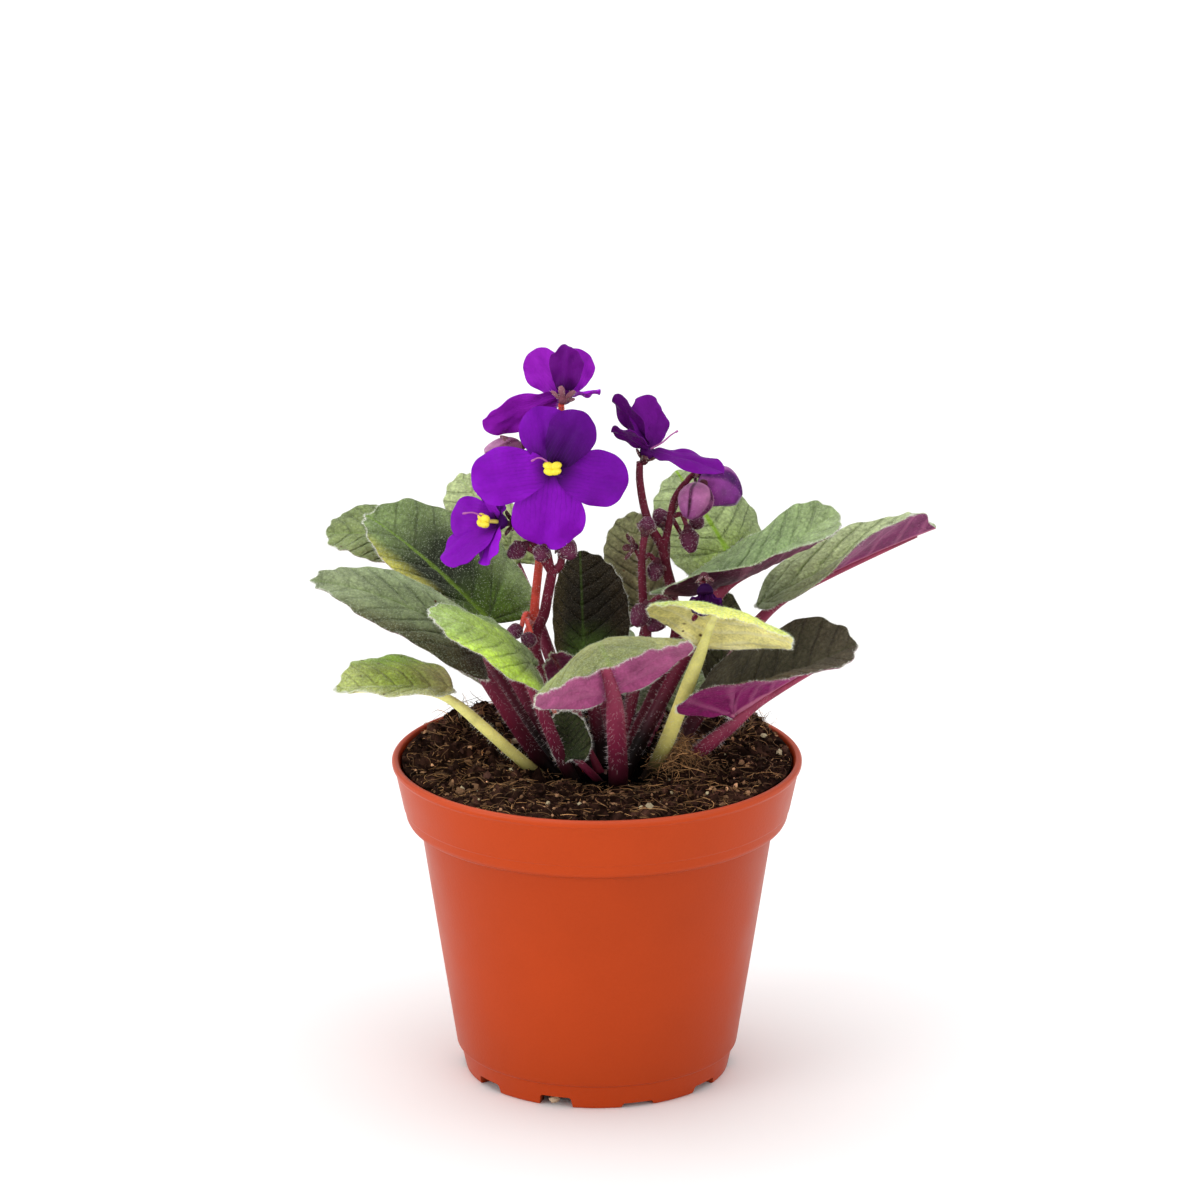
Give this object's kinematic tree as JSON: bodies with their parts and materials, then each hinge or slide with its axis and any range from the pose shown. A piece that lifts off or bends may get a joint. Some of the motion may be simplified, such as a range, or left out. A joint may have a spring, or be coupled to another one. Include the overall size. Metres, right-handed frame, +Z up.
{
  "type": "potted african violet",
  "caption": "African violet house plant with hairy round leaves and violet flowers in a round terracotta-coloured plastic nursery pot with soil",
  "frame": {"origin": "middle of the footprint of the whole plant's bounding box, on the surface that the pot stands on; the pot's own axis is 8 mm towards -X and 1 mm towards -Y from it", "axes": "+Z up, -Y towards the front, where the large open flower faces"},
  "size_m": [0.1816, 0.1312, 0.2176],
  "materials": {
    "terracotta": "satin",
    "soil": "matte",
    "maroon_stalk": "matte",
    "coral_stalk": "matte",
    "pale_stalk": "matte",
    "leaf_green": "matte",
    "leaf_lime": "matte",
    "leaf_dark": "matte",
    "petal": "matte",
    "bud": "matte",
    "pollen": "matte"
  },
  "bodies": {
    "root": {"bloom_front_anthers": "pollen", "bloom_front_corolla": "petal", "bloom_left_anthers": "pollen", "bloom_left_corolla": "petal", "bloom_right_corolla": "petal", "bloom_shaded_corolla": "petal", "bloom_top_corolla": "petal", "bud_mauve": "bud", "bud_pink": "bud", "bud_purple": "bud", "crown": "maroon_stalk", "flower_stalk_coral": "coral_stalk", "flower_stalk_left": "maroon_stalk", "flower_stalk_middle": "maroon_stalk", "flower_stalk_right": "maroon_stalk", "leaf_01_blade": "leaf_green", "leaf_01_stalk": "maroon_stalk", "leaf_02_blade": "leaf_green", "leaf_02_stalk": "maroon_stalk", "leaf_03_blade": "leaf_green", "leaf_03_stalk": "maroon_stalk", "leaf_04_blade": "leaf_lime", "leaf_04_stalk": "maroon_stalk", "leaf_05_blade": "leaf_lime", "leaf_05_stalk": "pale_stalk", "leaf_06_blade": "leaf_green", "leaf_06_stalk": "maroon_stalk", "leaf_07_blade": "leaf_lime", "leaf_07_stalk": "pale_stalk", "leaf_08_blade": "leaf_dark", "leaf_08_stalk": "maroon_stalk", "leaf_09_blade": "leaf_green", "leaf_09_stalk": "maroon_stalk", "leaf_10_blade": "leaf_green", "leaf_10_stalk": "maroon_stalk", "leaf_11_blade": "leaf_green", "leaf_11_stalk": "maroon_stalk", "leaf_12_blade": "leaf_dark", "leaf_12_stalk": "maroon_stalk", "leaf_13_blade": "leaf_dark", "leaf_13_stalk": "maroon_stalk", "leaf_14_blade": "leaf_green", "leaf_14_stalk": "maroon_stalk", "leaf_15_blade": "leaf_dark", "leaf_15_stalk": "maroon_stalk", "leaf_16_blade": "leaf_dark", "leaf_16_stalk": "maroon_stalk", "leaf_17_blade": "leaf_green", "leaf_17_stalk": "maroon_stalk", "leaf_18_blade": "leaf_green", "leaf_18_stalk": "maroon_stalk", "leaf_19_blade": "leaf_green", "leaf_19_stalk": "maroon_stalk", "leaf_20_blade": "leaf_green", "leaf_20_stalk": "maroon_stalk", "pot": "terracotta", "soil": "soil"}
  },
  "joints": []
}
